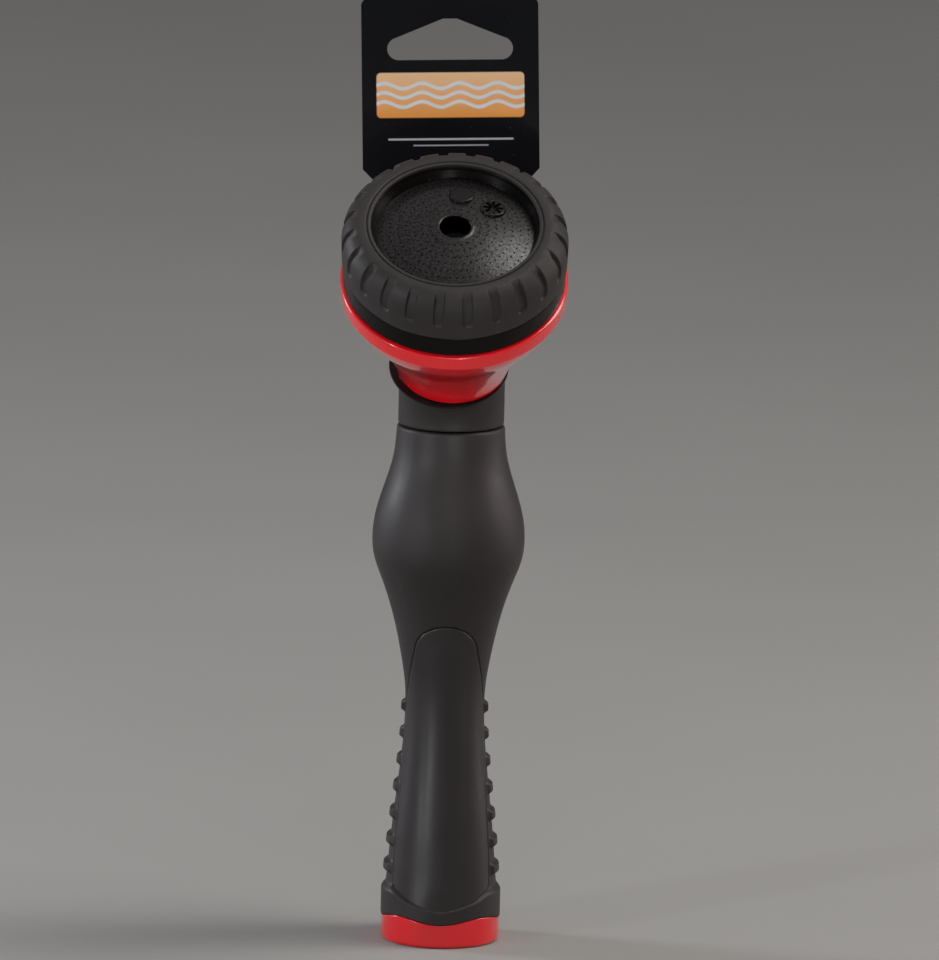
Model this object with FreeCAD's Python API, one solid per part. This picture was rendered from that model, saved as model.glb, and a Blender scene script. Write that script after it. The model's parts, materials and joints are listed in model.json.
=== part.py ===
import FreeCAD, Part
import math
import os

# Hose-end watering wand: a ribbed rubber handle with a hose coupling at the bottom, a thumb slide valve at
# the back, an elbow neck, a red head housing and a two-pattern spray head that is turned by its rubber ring.
# Millimetres.  The handle stands on +Z, its hose inlet mouth is at the origin and the head sprays towards
# -Y and up.  Head pieces are drawn round their own axis (height 0 = mouth of the jet) and then tilted.

# ---- hose inlet ----
THREAD_MINOR_R = 12.3
THREAD_MAJOR_R = 13.4
THREAD_PITCH = 2.209
THREAD_LENGTH = 11.5
WASHER_SEAT_Z = 14.8
COUPLING_R = 15.5
COUPLING_TOP_Z = 17.0
COUPLING_SPIGOT_R = 9.0
WATERWAY_R = 6.5

# ---- red base ring and the wavy edge between it and the grip ----
BASE_R = 19.0
WAVE_MEAN_Z = 8.5
WAVE_RISE = 0.9
WAVES = 4
WAVE_SEAM_GAP = 0.1

# ---- rubber grip ----
GRIP_TOP_Z = 167.7
GRIP_FOOT_R = 19.2
GRIP_FOOT_TOP_Z = 16.8
GRIP_WAIST_R = 12.7
GRIP_WAIST_Z = 80.0
GRIP_BULGE_R = 24.4
GRIP_BULGE_Z = 131.0
FOOT_VALLEY_R = 17.6
FOOT_VALLEY_Z = 20.0
RIB_COUNT = 7
RIB_FIRST_Z = 24.0
RIB_PITCH = 8.65
RIB_HEIGHT = 1.35
RIB_WIDTH = 4.4
PANEL_SEAM = 0.2
PANEL_TOP_Z = 104.7
PANEL_THICKNESS = 1.7

# ---- rigid core tube inside the grip ----
CORE_STEM_R = 10.2
CORE_CHEST_R = 14.0
CORE_SPIGOT_R = 12.0
CORE_TOP_Z = 175.0

# ---- thumb slide and spool valve ----
SLIDE_TRAVEL = 10.0
SPOOL_BORE_R = 9.0
SPOOL_R = 8.93
SPOOL_FOOT = 106.2
SPOOL_LENGTH = 43.3
SEAL_LANDS = (116.6, 145.4)
RUNNING_GAP = 0.3
FACET_Y = 16.5
BEZEL_THICKNESS = 1.6
BEZEL_CENTRE_Z = 133.0
BEZEL_HALF_LENGTH = 22.0
BEZEL_HALF_WIDTH = 9.0
SLIDE_CLOSED_Z = 131.0
STEM_WIDTH = 6.0
STEM_LENGTH = 7.0
BUTTON_WIDTH = 13.0
BUTTON_LENGTH = 17.0
BUTTON_HEIGHT = 5.2
BEZEL_SCREW_Z = (115.2, 151.4)

# ---- elbow neck ----
HEAD_TILT = 35.0
NECK_R = 16.9
NECK_BOTTOM_Z = 168.2
NECK_BEND_Z = 168.6
NECK_BEND_R = 30.0
NECK_WATERWAY_R = 7.5
NECK_STRAIGHT = 3.1

# ---- head, heights along its own axis ----
HOUSING_FOOT = -62.0
HOUSING_FOOT_R = 17.6
HOUSING_RIM_R = 36.2
HOUSING_RIM_TOP = -23.1
HOUSING_RIM_FOOT = -27.9
HOUSING_CONE = ((35.3, -29.0), (33.4, -33.0), (30.0, -38.0), (25.9, -44.0), (22.4, -50.0), (19.5, -56.0))
HOUSING_HOLLOW = ((17.0, -56.0), (20.1, -50.0), (23.5, -44.0), (27.6, -38.0), (29.8, -34.4), (30.6, -32.0))
NECK_SPIGOT_R = 12.0
NECK_SPIGOT_LENGTH = 6.0
DISC_R = 31.8
DISC_TOP = -23.5
DISC_THICKNESS = 3.5
PORT_COUNT = 4
PORT_CIRCLE_R = 16.0
PORT_R = 2.6
POST_R = 5.0
POST_GAP = 0.06
DISTRIBUTOR_R = 30.0
DISTRIBUTOR_FOOT = -23.2
DISTRIBUTOR_TOP = -20.2
SKIRT_R = 35.3
SKIRT_FOOT = -22.7
RING_FOOT = -15.4
RING_R = 36.0
RING_BORE_R = 28.0
LIP_R = 26.7
LIP_FOOT = 0.1
LIP_TOP = 1.2
NOTCH_COUNT = 24
NOTCH_WIDTH = 3.3
NOTCH_DEPTH = 1.1
PLATE_R = 24.9
PLATE_EDGE = -3.5
PLATE_THICKNESS = 1.8
JET_R = 4.9
JET_TIP = -9.0
MARK_CIRCLE_R = 15.0
MARK_R = 4.1
JET_MARK_ANGLE = 83.0
SHOWER_MARK_ANGLE = 38.0
SPRAY_HOLE_R = 0.3
SPRAY_RINGS = 7
SPRAY_OUTER_R = 23.3
SPRAY_STEP = 2.55
SPRAY_OUTER_COUNT = 72
SPRAY_COUNT_STEP = 8
DETENT_CIRCLE_R = 26.0
DETENT_BALL_R = 1.5
DETENT_FLOOR = -28.5
SPRING_R = 1.1
SPRING_WIRE_R = 0.16
SPRING_TURNS = 4

# ---- hang card ----
CARD_THICKNESS = 0.7
CARD_Y = 18.0
CARD_LEAN = 1.8
CARD_LEAN_Z = 190.0
CARD_TOP_Z = 303.0
CARD_HALF_WIDTH = 28.3
CARD_SHOULDER_Z = 247.6
CARD_CHAMFER_Z = 242.0
CARD_CHAMFER_HALF_WIDTH = 23.0
CARD_TONGUE_HALF_WIDTH = 11.0
CARD_TONGUE_Z = 230.0
CARD_RING_R = 19.1
CARD_RING_HOLE_R = 17.2
CARD_RING_X = -1.1
CARD_BEND_R = 6.0
CARD_SLOT_Z = 282.8

V = FreeCAD.Vector
ORIGIN = V(0, 0, 0)
UP = V(0, 0, 1)
TILT = math.radians(HEAD_TILT)
HEAD_AXIS = V(0, -math.sin(TILT), math.cos(TILT))
NECK_END = V(
    0,
    -NECK_BEND_R * (1 - math.cos(TILT)) - NECK_STRAIGHT * math.sin(TILT),
    NECK_BEND_Z + NECK_BEND_R * math.sin(TILT) + NECK_STRAIGHT * math.cos(TILT),
)
HEAD_POINT = NECK_END - HEAD_AXIS * HOUSING_FOOT


# ---------------------------------------------------------------- helpers
def lines(corners):
    """Straight edges through (radius, height) corners in the XZ plane."""
    points = [V(r, 0, z) for r, z in corners]
    return [Part.makeLine(a, b) for a, b in zip(points, points[1:])]


def spline(corners):
    """One smooth edge through (radius, height) corners."""
    curve = Part.BSplineCurve()
    curve.interpolate([V(r, 0, z) for r, z in corners])
    return [curve.toShape()]


def turned(edges):
    """Solid of revolution about Z of a closed chain of edges."""
    wire = Part.Wire(Part.__sortEdges__(edges))
    return Part.Face(wire).revolve(ORIGIN, UP, 360)


def turned_outline(corners):
    return turned(lines(list(corners) + [corners[0]]))


def rod(radius, foot, top, x=0.0, y=0.0):
    return Part.makeCylinder(radius, top - foot, V(x, y, foot), UP)


def pipe(outer, inner, foot, top):
    return rod(outer, foot, top).cut(rod(inner, foot - 1, top + 1))


def rod_y(radius, start, end, x, z):
    return Part.makeCylinder(radius, end - start, V(x, start, z), V(0, 1, 0))


def block(x, y, z):
    """Box from three (low, high) pairs."""
    return Part.makeBox(x[1] - x[0], y[1] - y[0], z[1] - z[0], V(x[0], y[0], z[0]))


def o_ring(radius, section, height):
    return Part.makeTorus(radius, section, V(0, 0, height), UP)


def around(shape, count, start=0.0):
    """Copies of a shape spaced evenly about Z."""
    copies = []
    for i in range(count):
        copy = shape.copy()
        copy.rotate(ORIGIN, UP, start + 360.0 * i / count)
        copies.append(copy)
    return copies


def stadium_y(half_width, low, high, y0, y1):
    """Upright stadium plate in the XZ plane, from y0 to y1."""
    body = block((-half_width, half_width), (y0, y1), (low + half_width, high - half_width))
    for z in (low + half_width, high - half_width):
        body = body.fuse(rod_y(half_width, y0, y1, 0, z))
    return body.removeSplitter()


def prism_y(edges, y0, y1):
    """Outline drawn in the XZ plane, extruded from y0 to y1."""
    face = Part.Face(Part.Wire(Part.__sortEdges__(edges)))
    face.translate(V(0, y0, 0))
    return face.extrude(V(0, y1 - y0, 0))


def on_head(shape):
    """Carries a piece drawn round Z to its place on the tilted head."""
    placed = shape.copy()
    placed.rotate(ORIGIN, V(1, 0, 0), HEAD_TILT)
    placed.translate(HEAD_POINT)
    return placed


def save(name, shape):
    shape.exportStep("parts/" + name + ".step")


# ---------------------------------------------------------------- hose inlet
def wave_zone(lift=0.0):
    """Everything below the wavy edge, in a ring wider than the handle's foot."""
    rims = []
    for radius in (COUPLING_R - 1.5, BASE_R + 3):
        points = []
        for i in range(WAVES * 8):
            angle = 2 * math.pi * (i + 0.4) / (WAVES * 8)
            height = WAVE_MEAN_Z + lift - WAVE_RISE * math.cos(WAVES * angle)
            points.append(V(radius * math.cos(angle), radius * math.sin(angle), height))
        curve = Part.BSplineCurve()
        curve.interpolate(points, PeriodicFlag=True)
        rims.append(curve.toShape())
    return Part.makeRuledSurface(rims[0], rims[1]).extrude(V(0, 0, -20))


def base_ring():
    body = turned_outline(
        [
            (COUPLING_R, 0.5),
            (COUPLING_R + 0.7, 0),
            (BASE_R - 1.2, 0),
            (BASE_R, 1.2),
            (BASE_R, 12),
            (COUPLING_R, 12),
        ]
    )
    return body.common(wave_zone())


def thread_cutter():
    """Helical V groove of the female hose thread."""
    turns_height = THREAD_LENGTH + 2 * THREAD_PITCH
    helix = Part.makeHelix(THREAD_PITCH, turns_height, THREAD_MINOR_R)
    half = 0.3 * THREAD_PITCH
    profile = Part.makePolygon(
        [
            V(THREAD_MINOR_R - 0.4, 0, -half),
            V(THREAD_MAJOR_R, 0, -0.2),
            V(THREAD_MAJOR_R, 0, 0.2),
            V(THREAD_MINOR_R - 0.4, 0, half),
            V(THREAD_MINOR_R - 0.4, 0, -half),
        ]
    )
    cutter = Part.Wire(helix).makePipeShell([profile], True, True)
    cutter.translate(V(0, 0, -THREAD_PITCH))
    return cutter


def inlet_coupling():
    body = turned_outline(
        [
            (THREAD_MINOR_R, 0),
            (COUPLING_R, 0),
            (COUPLING_R, COUPLING_TOP_Z),
            (COUPLING_SPIGOT_R, COUPLING_TOP_Z),
            (COUPLING_SPIGOT_R, COUPLING_TOP_Z + 5.5),
            (WATERWAY_R, COUPLING_TOP_Z + 5.5),
            (WATERWAY_R, 16.2),
            (8.2, 16.2),
            (8.2, WASHER_SEAT_Z),
            (THREAD_MAJOR_R, WASHER_SEAT_Z),
            (THREAD_MAJOR_R, THREAD_LENGTH + 0.6),
            (THREAD_MINOR_R, THREAD_LENGTH),
        ]
    )
    return body.cut(thread_cutter())


def hose_washer():
    return pipe(13.2, 8.6, WASHER_SEAT_Z - 2.6, WASHER_SEAT_Z)


def filter_screen():
    disc = rod(8.1, WASHER_SEAT_Z, WASHER_SEAT_Z + 1.2)
    disc = disc.cut(rod(6.9, WASHER_SEAT_Z - 1, WASHER_SEAT_Z + 0.6))
    holes = []
    for ring in range(1, 4):
        holes += around(rod(0.6, 10, 20, x=1.9 * ring), 6 * ring)
    holes.append(rod(0.6, 10, 20))
    return disc.cut(Part.makeCompound(holes))


# ---------------------------------------------------------------- grip
def grip_side_curve(offset):
    """Outer side of the handle from the foot valley up to the neck, as one smooth edge."""
    return [
        (FOOT_VALLEY_R + offset, FOOT_VALLEY_Z),
        (15.7 + offset, 41.0),
        (13.8 + offset, 58.0),
        (GRIP_WAIST_R + offset, 74.0),
        (GRIP_WAIST_R + 0.25 + offset, 83.0),
        (14.3 + offset, 92.0),
        (17.0 + offset, 104.5),
        (21.0 + offset, 117.0),
        (GRIP_BULGE_R - 0.6 + offset, 125.0),
        (GRIP_BULGE_R + offset, GRIP_BULGE_Z),
        (GRIP_BULGE_R - 0.7 + offset, 138.0),
        (20.4 + offset, 149.5),
        (18.3 + offset, 157.0),
        (17.3 + offset, GRIP_TOP_Z - 1.0),
    ]


def tongue_edges(grow):
    """Outline of the smooth front panel, seen from the front."""
    foot = 11.6 - grow
    top = PANEL_TOP_Z + grow
    right = [
        (15.7 + grow, 18.3),
        (15.3 + grow, 30.0),
        (14.2 + grow, 46.0),
        (13.3 + grow, 62.0),
        (12.5 + grow, 78.0),
        (11.6 + grow, 88.0),
        (10.2 + grow, 96.0),
    ]
    edges = spline(right) + spline([(-x, z) for x, z in right])
    crown = V(0, 0, top)
    for side in (-1, 1):
        shoulder = V(side * (10.2 + grow), 0, 96.0)
        middle = V(side * (7.4 + grow * 0.7), 0, 101.9 + grow * 0.7)
        edges.append(Part.Arc(shoulder, middle, crown).toShape())
    cup = Part.Arc(V(-15.7 - grow, 0, 18.3), V(0, 0, foot), V(15.7 + grow, 0, 18.3))
    return edges + [cup.toShape()]


def panel_shell(outer_offset, inner_offset):
    """Turned shell the panel (or its pocket) is cut from."""
    def closed(offset):
        side = grip_side_curve(offset)
        low = side[0]
        high = side[-1]
        return turned(
            lines([high, (0, high[1]), (0, 8.0), (low[0] + 1.2, 8.0), low]) + spline(side)
        )

    return closed(outer_offset).cut(closed(inner_offset))


def grip_front_panel():
    shell = panel_shell(0.25, 0.25 - PANEL_THICKNESS)
    return shell.common(prism_y(tongue_edges(0), -40, 0))


def slide_slot(grow, y0, y1):
    """Slot the slide's stem travels in."""
    half = STEM_WIDTH / 2 + grow
    low = SLIDE_CLOSED_Z - STEM_LENGTH / 2 - grow
    high = SLIDE_CLOSED_Z + SLIDE_TRAVEL + STEM_LENGTH / 2 + grow
    return block((-half, half), (y0, y1), (low, high))


def grip_ribs():
    """Soft ribs round the sides and back of the lower handle, each a lens-shaped hoop."""
    slope = (FOOT_VALLEY_R - GRIP_WAIST_R) / (GRIP_WAIST_Z - FOOT_VALLEY_Z)
    ribs = []
    for i in range(RIB_COUNT):
        z = RIB_FIRST_Z + i * RIB_PITCH
        valley = FOOT_VALLEY_R - slope * (z - FOOT_VALLEY_Z)
        half = RIB_WIDTH / 2
        crest = valley + RIB_HEIGHT
        ribs.append(
            turned_outline(
                [
                    (valley - 2.5, z - half),
                    (valley - 0.4, z - half),
                    (crest - 0.35, z - half + 1.1),
                    (crest, z - half + 1.7),
                    (crest, z + half - 1.7),
                    (crest - 0.35, z + half - 1.1),
                    (valley - 0.7, z + half),
                    (valley - 2.5, z + half),
                ]
            )
        )
    return ribs


def core_outline():
    return [
        (COUPLING_R, COUPLING_TOP_Z),
        (COUPLING_R, 20.0),
        (CORE_STEM_R, 25.5),
        (CORE_STEM_R, 93.0),
        (CORE_CHEST_R, 106.0),
        (CORE_CHEST_R, 160.0),
        (CORE_SPIGOT_R, 162.0),
        (CORE_SPIGOT_R, CORE_TOP_Z),
    ]


def grip_sleeve():
    side = grip_side_curve(0)
    rim = (16.5, GRIP_TOP_Z)
    body = turned(
        lines(
            [
                side[-1],
                rim,
                (0, GRIP_TOP_Z),
                (0, 3),
                (GRIP_FOOT_R, 3),
                (GRIP_FOOT_R, GRIP_FOOT_TOP_Z),
                side[0],
            ]
        )
        + spline(side)
    )
    body = body.fuse(grip_ribs())
    core = core_outline()
    hollow = turned_outline([(0, 0), (COUPLING_R, 0)] + core + [(0, CORE_TOP_Z)])
    pocket = panel_shell(8.0, 0.25 - PANEL_THICKNESS)
    pocket = pocket.common(prism_y(tongue_edges(PANEL_SEAM), -40, 0))
    facet = block((-40, 40), (FACET_Y, 60), (100, GRIP_TOP_Z - 2))
    body = body.cut([hollow, wave_zone(WAVE_SEAM_GAP), pocket, facet, slide_slot(0.8, 5, 30)])
    for z in BEZEL_SCREW_Z:
        body = body.cut(rod_y(1.2, 5, 30, 0, z))
    return body


# ---------------------------------------------------------------- core, valve and thumb slide
def handle_core():
    outline = core_outline() + [
        (NECK_WATERWAY_R, CORE_TOP_Z),
        (NECK_WATERWAY_R, 162.0),
        (SPOOL_BORE_R, 160.5),
        (SPOOL_BORE_R, 99.0),
        (WATERWAY_R, 97.0),
        (WATERWAY_R, COUPLING_TOP_Z + 5.5),
        (COUPLING_SPIGOT_R, COUPLING_TOP_Z + 5.5),
        (COUPLING_SPIGOT_R, COUPLING_TOP_Z),
    ]
    body = turned_outline(outline).cut(slide_slot(0.4, 5, 30))
    for z in BEZEL_SCREW_Z:
        body = body.cut(rod_y(1.1, 10.5, 30, 0, z))
    return body


def valve_seat():
    """Ring that the spool's nose closes on."""
    outer = SPOOL_BORE_R
    return turned_outline([(4.8, 99.2), (outer, 99.2), (outer, 104.0), (5.6, 104.0), (4.8, 103.2)])


def valve_spool():
    """Hollow spool: a closed nose over the seat, four side windows, and two sealed lands."""
    top = SPOOL_FOOT + SPOOL_LENGTH
    body = turned_outline(
        [
            (0, SPOOL_FOOT),
            (7.0, SPOOL_FOOT),
            (7.0, 113.5),
            (SPOOL_R, 114.2),
            (SPOOL_R, 119.0),
            (8.2, 119.8),
            (8.2, 142.2),
            (SPOOL_R, 143.0),
            (SPOOL_R, top),
            (5.5, top),
            (5.5, 108.6),
            (0, 108.6),
        ]
    )
    windows = around(block((0, 12), (-2.6, 2.6), (108.8, 113.2)), 4, 45)
    grooves = [pipe(10, 7.4, z - 1.0, z + 1.0) for z in SEAL_LANDS]
    socket = block(
        (-STEM_WIDTH / 2, STEM_WIDTH / 2),
        (6.9, 12),
        (SLIDE_CLOSED_Z - STEM_LENGTH / 2, SLIDE_CLOSED_Z + STEM_LENGTH / 2),
    )
    return body.cut(windows + grooves + [socket])


def spool_o_rings():
    return Part.makeCompound([o_ring(8.18, 0.78, z) for z in SEAL_LANDS])


def spool_seal():
    """Rubber face on the spool's nose."""
    foot = SPOOL_FOOT - 1.6
    return turned_outline([(0, foot), (6.4, foot), (6.8, SPOOL_FOOT), (0, SPOOL_FOOT)])


def bezel_face_y():
    return FACET_Y + BEZEL_THICKNESS


def slide_stem():
    half = STEM_LENGTH / 2
    return block(
        (-STEM_WIDTH / 2, STEM_WIDTH / 2),
        (6.9, bezel_face_y() + 2.6),
        (SLIDE_CLOSED_Z - half, SLIDE_CLOSED_Z + half),
    )


def thumb_slide():
    """Button with a dished face and raised thumb ridges."""
    foot = bezel_face_y() + RUNNING_GAP
    top = foot + BUTTON_HEIGHT
    body = block(
        (-BUTTON_WIDTH / 2, BUTTON_WIDTH / 2),
        (foot, top),
        (SLIDE_CLOSED_Z - BUTTON_LENGTH / 2, SLIDE_CLOSED_Z + BUTTON_LENGTH / 2),
    )
    uprights = [e for e in body.Edges if abs(e.tangentAt(e.FirstParameter).y) > 0.9]
    body = body.makeFillet(3.0, uprights)
    dish_centre = V(-BUTTON_WIDTH / 2 - 1, top + 24.2, SLIDE_CLOSED_Z)
    body = body.cut(Part.makeCylinder(26, BUTTON_WIDTH + 2, dish_centre, V(1, 0, 0)))
    for i in range(-2, 3):
        z = SLIDE_CLOSED_Z + 2.4 * i
        body = body.fuse(block((-4.6, 4.6), (top - 2.6, top - 0.9), (z - 0.5, z + 0.5)))
    half = STEM_LENGTH / 2
    socket = block(
        (-STEM_WIDTH / 2, STEM_WIDTH / 2),
        (foot - 1, bezel_face_y() + 2.6),
        (SLIDE_CLOSED_Z - half, SLIDE_CLOSED_Z + half),
    )
    return body.cut(socket).removeSplitter()


def slide_bezel():
    """Oval frame with a raised rim round the slide's track."""
    low = BEZEL_CENTRE_Z - BEZEL_HALF_LENGTH
    high = BEZEL_CENTRE_Z + BEZEL_HALF_LENGTH
    face = bezel_face_y()
    body = stadium_y(BEZEL_HALF_WIDTH, low, high, FACET_Y, face + 1.2)
    body = body.cut(stadium_y(BEZEL_HALF_WIDTH - 1.2, low + 1.2, high - 1.2, face, face + 2))
    body = body.cut(slide_slot(0.5, 5, 30))
    for z in BEZEL_SCREW_Z:
        body = body.cut(bezel_screw(z))
    return body.removeSplitter()


def bezel_screw(z):
    """Countersunk screw, its head flush with the bezel."""
    head = Part.makeCone(1.1, 2.3, 1.3, V(0, bezel_face_y() - 1.3, z), V(0, 1, 0))
    return head.fuse(rod_y(1.1, 10.5, bezel_face_y() - 1.3, 0, z))


def bezel_screws():
    screws = []
    for z in BEZEL_SCREW_Z:
        cross = block((-1.3, 1.3), (bezel_face_y() - 0.8, 30), (z - 0.3, z + 0.3))
        cross = cross.fuse(block((-0.3, 0.3), (bezel_face_y() - 0.8, 30), (z - 1.3, z + 1.3)))
        screws.append(bezel_screw(z).cut(cross))
    return Part.makeCompound(screws)


# ---------------------------------------------------------------- neck
def bent_rod(radius, foot, end):
    """Round bar: straight from the foot, bent by the head's tilt, then straight to the end height."""
    face = Part.Face(Part.Wire(Part.makeCircle(radius, V(0, 0, NECK_BEND_Z), UP)))
    elbow = face.revolve(V(0, -NECK_BEND_R, NECK_BEND_Z), V(1, 0, 0), HEAD_TILT)
    lower = rod(radius, foot, NECK_BEND_Z)
    upper = on_head(rod(radius, HOUSING_FOOT - NECK_STRAIGHT, end))
    return lower.fuse([elbow, upper])


def neck():
    spigot = on_head(rod(NECK_SPIGOT_R, HOUSING_FOOT - 1, HOUSING_FOOT + NECK_SPIGOT_LENGTH))
    body = bent_rod(NECK_R, NECK_BOTTOM_Z, HOUSING_FOOT).fuse(spigot)
    chamfer = pipe(20, NECK_R - 0.5, NECK_BOTTOM_Z - 1, NECK_BOTTOM_Z + 0.4)
    waterway = bent_rod(NECK_WATERWAY_R, CORE_TOP_Z - 10, HOUSING_FOOT + 20)
    groove = on_head(pipe(14, 10.9, HOUSING_FOOT + 2.5, HOUSING_FOOT + 4.3))
    socket = rod(CORE_SPIGOT_R, NECK_BOTTOM_Z - 1, CORE_TOP_Z)
    return body.cut([chamfer, waterway, groove, socket]).removeSplitter()


def neck_o_ring():
    return on_head(o_ring(11.45, 0.55, HOUSING_FOOT + 3.4))


# ---------------------------------------------------------------- head housing and fixed pieces in it
def head_housing():
    """Cone-shaped cup: narrow at the neck, widening to a thick straight rim."""
    corners = [
        (HOUSING_FOOT_R, HOUSING_FOOT),
        (NECK_SPIGOT_R, HOUSING_FOOT),
        (NECK_SPIGOT_R, HOUSING_FOOT + NECK_SPIGOT_LENGTH),
    ]
    corners += HOUSING_HOLLOW
    corners += [
        (30.6, DISC_TOP - DISC_THICKNESS),
        (DISC_R, DISC_TOP - DISC_THICKNESS),
        (DISC_R, HOUSING_RIM_TOP),
        (HOUSING_RIM_R - 0.5, HOUSING_RIM_TOP),
        (HOUSING_RIM_R, HOUSING_RIM_TOP - 0.5),
        (HOUSING_RIM_R, HOUSING_RIM_FOOT),
        (HOUSING_RIM_R - 0.6, HOUSING_RIM_FOOT - 0.8),
        HOUSING_CONE[0],
    ]
    cone = list(HOUSING_CONE) + [(HOUSING_FOOT_R, HOUSING_FOOT)]
    return on_head(turned(lines(corners) + spline(cone)))


def at_detent(shape):
    """Moves a piece drawn on the head's axis out to the detent's place."""
    placed = shape.copy()
    placed.translate(V(0, DETENT_CIRCLE_R, 0))
    return placed


def diverter_disc():
    """Fixed disc with four ports round the post that the spray head turns on, and a detent pocket."""
    foot = DISC_TOP - DISC_THICKNESS
    body = rod(DISC_R, foot, DISC_TOP).fuse(rod(POST_R, foot, -17.6))
    body = body.fuse(at_detent(rod(2.2, DETENT_FLOOR - 0.6, foot + 1)))
    body = body.cut(around(rod(PORT_R + 0.6, foot - 1, DISC_TOP + 1, x=PORT_CIRCLE_R), PORT_COUNT))
    body = body.cut(rod(1.3, foot + 1, 0))
    body = body.cut(pipe(DISC_R + 1, DISC_R - 1.1, foot + 0.8, foot + 2.6))
    return on_head(body.cut(at_detent(rod(DETENT_BALL_R + 0.1, DETENT_FLOOR, DISC_TOP + 1))))


def disc_o_ring():
    return on_head(o_ring(DISC_R - 0.55, 0.55, DISC_TOP - DISC_THICKNESS + 1.7))


def port_seals():
    """Rubber sleeves in the four ports."""
    foot = DISC_TOP - DISC_THICKNESS
    seal = pipe(PORT_R + 0.6, PORT_R - 0.4, foot, DISC_TOP)
    seal.translate(V(PORT_CIRCLE_R, 0, 0))
    return on_head(Part.makeCompound(around(seal, PORT_COUNT)))


def pivot_screw():
    shank = rod(1.3, DISC_TOP - DISC_THICKNESS + 1, -17.0)
    head = rod(3.0, -17.0, -15.2).cut(block((-3.5, 3.5), (-0.4, 0.4), (-16.0, -14)))
    return on_head(shank.fuse(head))


def pivot_washer():
    return on_head(pipe(6.8, 1.3, -17.6, -17.0))


def ball_height():
    """Height of the detent ball's centre: its crown stands a little above the disc."""
    return DISC_TOP - DETENT_BALL_R + 0.1


def detent_ball():
    return on_head(at_detent(Part.makeSphere(DETENT_BALL_R, V(0, 0, ball_height()))))


def detent_spring():
    """Coil spring in the pocket, just touching the ball."""
    foot = DETENT_FLOOR + SPRING_WIRE_R + 0.02
    reach = math.sqrt((DETENT_BALL_R + SPRING_WIRE_R) ** 2 - SPRING_R ** 2)
    height = ball_height() - reach - 0.03 - foot
    helix = Part.makeHelix(height / SPRING_TURNS, height, SPRING_R)
    section = Part.Wire(Part.makeCircle(SPRING_WIRE_R, V(SPRING_R, 0, 0), V(0, 1, 0)))
    coil = Part.Wire(helix).makePipeShell([section], True, True)
    coil.translate(V(0, 0, foot))
    return on_head(at_detent(coil))


# ---------------------------------------------------------------- turning spray head
def distributor():
    """Turning disc: four holes feed the jet and four between them feed the shower."""
    body = rod(DISTRIBUTOR_R, DISTRIBUTOR_FOOT, DISTRIBUTOR_TOP)
    body = body.fuse(rod(POST_R + 2.2, DISTRIBUTOR_TOP, -18.0))
    body = body.cut(rod(POST_R + POST_GAP, -30, 0))
    body = body.cut(around(rod(PORT_R, -30, 0, x=PORT_CIRCLE_R), 2 * PORT_COUNT))
    dimple = at_detent(Part.makeSphere(DETENT_BALL_R + 0.5, V(0, 0, ball_height())))
    other = dimple.copy()
    other.rotate(ORIGIN, UP, -45)
    return on_head(body.cut([dimple, other]))


def jet_manifold():
    """Hollow cross that leads the four jet ports to the middle."""
    foot = DISTRIBUTOR_TOP

    def arm(half_width, low, high):
        end = rod(half_width, low, high, x=PORT_CIRCLE_R)
        return block((0, PORT_CIRCLE_R), (-half_width, half_width), (low, high)).fuse(end)

    body = rod(9.4, foot, -12.2).fuse(around(arm(4.0, foot, -15.4), PORT_COUNT))
    body = body.fuse(rod(JET_R + 1.2, -12.2, JET_TIP))
    channels = around(arm(2.8, foot - 1, -16.6), PORT_COUNT)
    return on_head(body.cut(channels + [rod(8.0, foot - 1, -13.6), rod(JET_R, -14, 0)]))


def jet_nozzle():
    """Tapered jet tip between the manifold and the face plate."""
    tip = JET_TIP
    corners = [(3.8, -13.0), (JET_R, -13.0), (JET_R, tip), (4.0, tip), (3.2, tip - 1.4), (3.2, -11.0)]
    return on_head(turned_outline(corners))


def selector_skirt():
    """Gloss carrier: outer skirt band, web and the inner wall round the face."""
    return on_head(
        turned_outline(
            [
                (LIP_R, LIP_FOOT),
                (RING_BORE_R, LIP_FOOT),
                (RING_BORE_R, RING_FOOT),
                (SKIRT_R - 0.4, RING_FOOT),
                (SKIRT_R, RING_FOOT - 0.4),
                (SKIRT_R, SKIRT_FOOT),
                (SKIRT_R - 1.8, SKIRT_FOOT),
                (SKIRT_R - 1.8, RING_FOOT - 2.2),
                (RING_BORE_R + 0.4, RING_FOOT - 2.2),
                (RING_BORE_R + 0.4, DISTRIBUTOR_TOP),
                (23.4, DISTRIBUTOR_TOP),
                (23.4, PLATE_EDGE - PLATE_THICKNESS),
                (PLATE_R, PLATE_EDGE - PLATE_THICKNESS),
                (PLATE_R, PLATE_EDGE),
                (LIP_R - 0.4, LIP_FOOT - 1.0),
            ]
        )
    )


def ring_blank(shrink):
    """Turned rubber ring: inner lip, elliptical shoulder (moved in by shrink) and a straight side."""
    centre = V(30.0, 0, -7.0)
    crown = V(centre.x, 0, LIP_TOP - shrink)
    side = V(RING_R - shrink, 0, centre.z)
    shoulder = Part.ArcOfEllipse(Part.Ellipse(crown, side, centre), 0, math.pi / 2)
    corners = [
        (side.x, side.z),
        (side.x - 0.2, RING_FOOT + 1.0),
        (side.x - 0.8, RING_FOOT),
        (RING_BORE_R, RING_FOOT),
        (RING_BORE_R, LIP_FOOT),
        (LIP_R, LIP_FOOT),
        (LIP_R, LIP_TOP - 0.4),
        (LIP_R + 0.4, LIP_TOP),
        (28.6, LIP_TOP),
        (crown.x, crown.z),
    ]
    return turned([shoulder.toShape()] + lines(corners))


def notch():
    """Round-ended slot running over the shoulder, cut square to it."""
    half = NOTCH_WIDTH / 2
    slot = block((0, 9.6), (-half, half), (-6, 8)).fuse([rod(half, -6, 8), rod(half, -6, 8, x=9.6)])
    slot.rotate(ORIGIN, V(0, 1, 0), 52)
    slot.translate(V(30.6, 0, 0.6))
    return slot


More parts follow.
